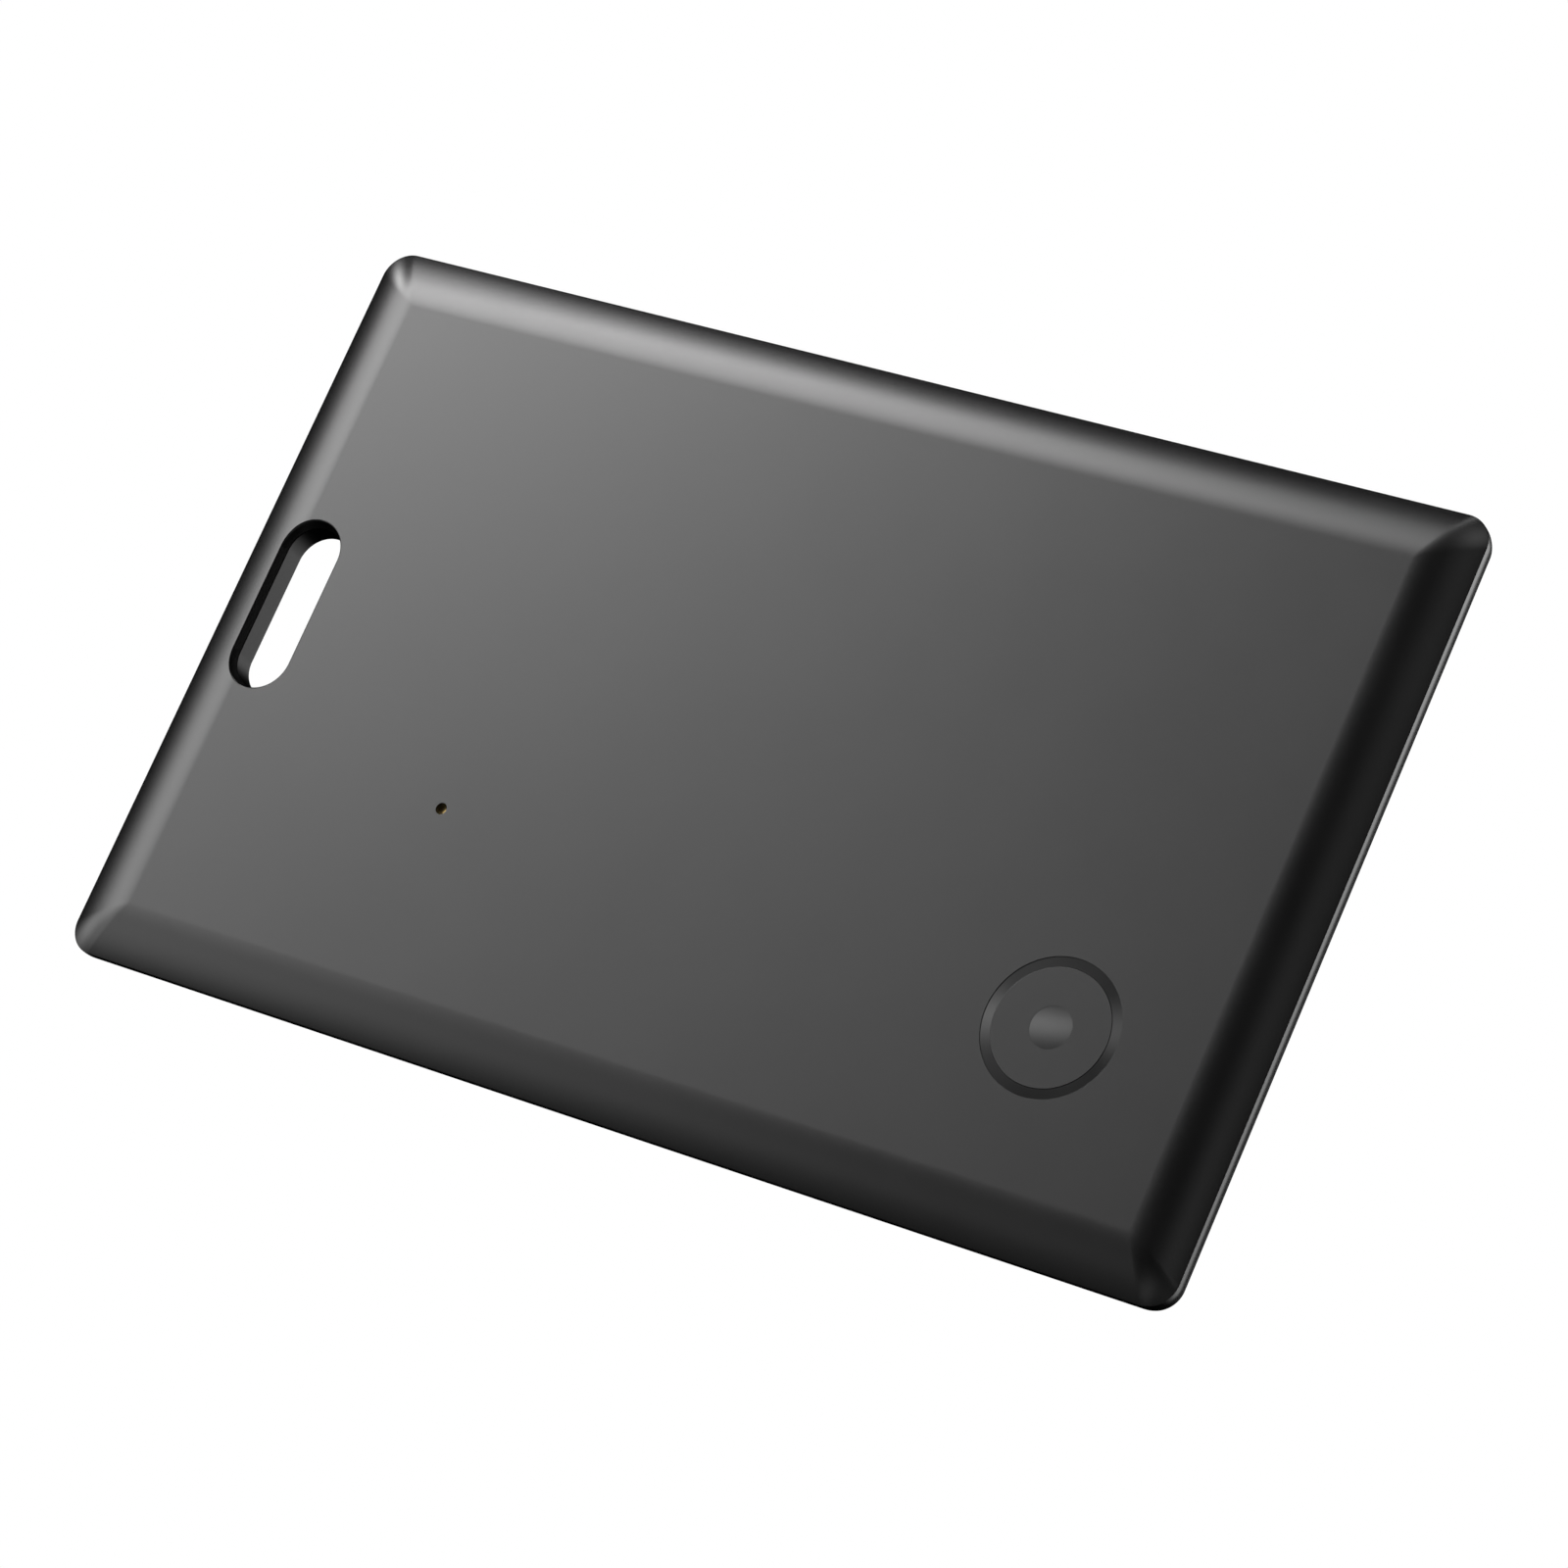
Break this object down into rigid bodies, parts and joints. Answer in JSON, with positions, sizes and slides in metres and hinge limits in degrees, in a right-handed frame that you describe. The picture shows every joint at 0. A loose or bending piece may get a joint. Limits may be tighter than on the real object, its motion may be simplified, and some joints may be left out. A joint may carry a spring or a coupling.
{
  "type": "bluetooth tracker tag",
  "caption": "Card-shaped wireless tracker tag with a curved bevel, a push button, a sound port and a slot for a lanyard.",
  "frame": {"origin": "centre of the card's outline, on the back face that it rests on", "axes": "+X along the card's length, from the lanyard slot towards the button; +Z out of the front face"},
  "size_m": [0.0856, 0.054, 0.0025],
  "materials": {
    "cover_plastic": "fine matte spark-eroded texture, black",
    "back_plastic": "fine matte spark-eroded texture, black",
    "gasket_film": "black acrylic foam tape",
    "cap_plastic": "fine matte spark-eroded texture, black",
    "seal_rubber": "black silicone, polished where it shows as the groove floor",
    "dome_steel": "spring steel, bright",
    "polyimide": "amber film, semi-gloss",
    "gold_pad": "gold-plated copper",
    "board_laminate": "green solder mask over glass-fibre laminate",
    "transfer_tape": "double-sided adhesive film",
    "chip_mould": "black epoxy moulding",
    "crystal_lid": "seam-welded nickel lid",
    "ferrite": "sintered ferrite",
    "capacitor_body": "fired ceramic with tinned ends",
    "resistor_body": "glazed film with tinned ends",
    "copper_trace": "etched copper",
    "solder": "bright tin solder",
    "brass_plate": "rolled brass sheet",
    "piezo_ceramic": "fired silver on ceramic",
    "foam_black": "closed-cell foam",
    "lead_red": "insulated lead",
    "lead_black": "insulated lead",
    "pouch_foil": "aluminium laminate, satin",
    "nickel_tab": "rolled nickel strip"
  },
  "bodies": {
    "card": {"front_cover": "cover_plastic", "back_cover": "back_plastic", "cover_gasket": "gasket_film", "slot_gasket": "gasket_film", "button_seal": "seal_rubber", "metal_dome": "dome_steel", "dome_tape": "polyimide", "switch_contacts": "gold_pad", "circuit_board": "board_laminate", "board_tape": "transfer_tape", "radio_chip": "chip_mould", "main_crystal": "crystal_lid", "clock_crystal": "crystal_lid", "motion_sensor": "chip_mould", "buzzer_driver": "chip_mould", "boost_inductor": "ferrite", "capacitors": "capacitor_body", "resistors": "resistor_body", "antenna_trace": "copper_trace", "test_pads": "gold_pad", "solder_joints": "solder", "piezo_plate": "brass_plate", "piezo_ceramic": "piezo_ceramic", "piezo_ring": "foam_black", "lead_plus": "lead_red", "lead_minus": "lead_black", "battery_cell": "pouch_foil", "battery_tab_plus": "nickel_tab", "battery_tab_minus": "nickel_tab", "battery_tape": "transfer_tape", "battery_foam": "foam_black"},
    "button": {"button_cap": "cap_plastic"}
  },
  "joints": [
    {"name": "button_press", "type": "slide", "parent": "card", "child": "button", "axis": [0, 0, -1], "range_m": [0, 0.0002], "stiffness_N_per_m": 8000, "deforming": ["metal_dome", "dome_tape", "button_seal"]}
  ]
}
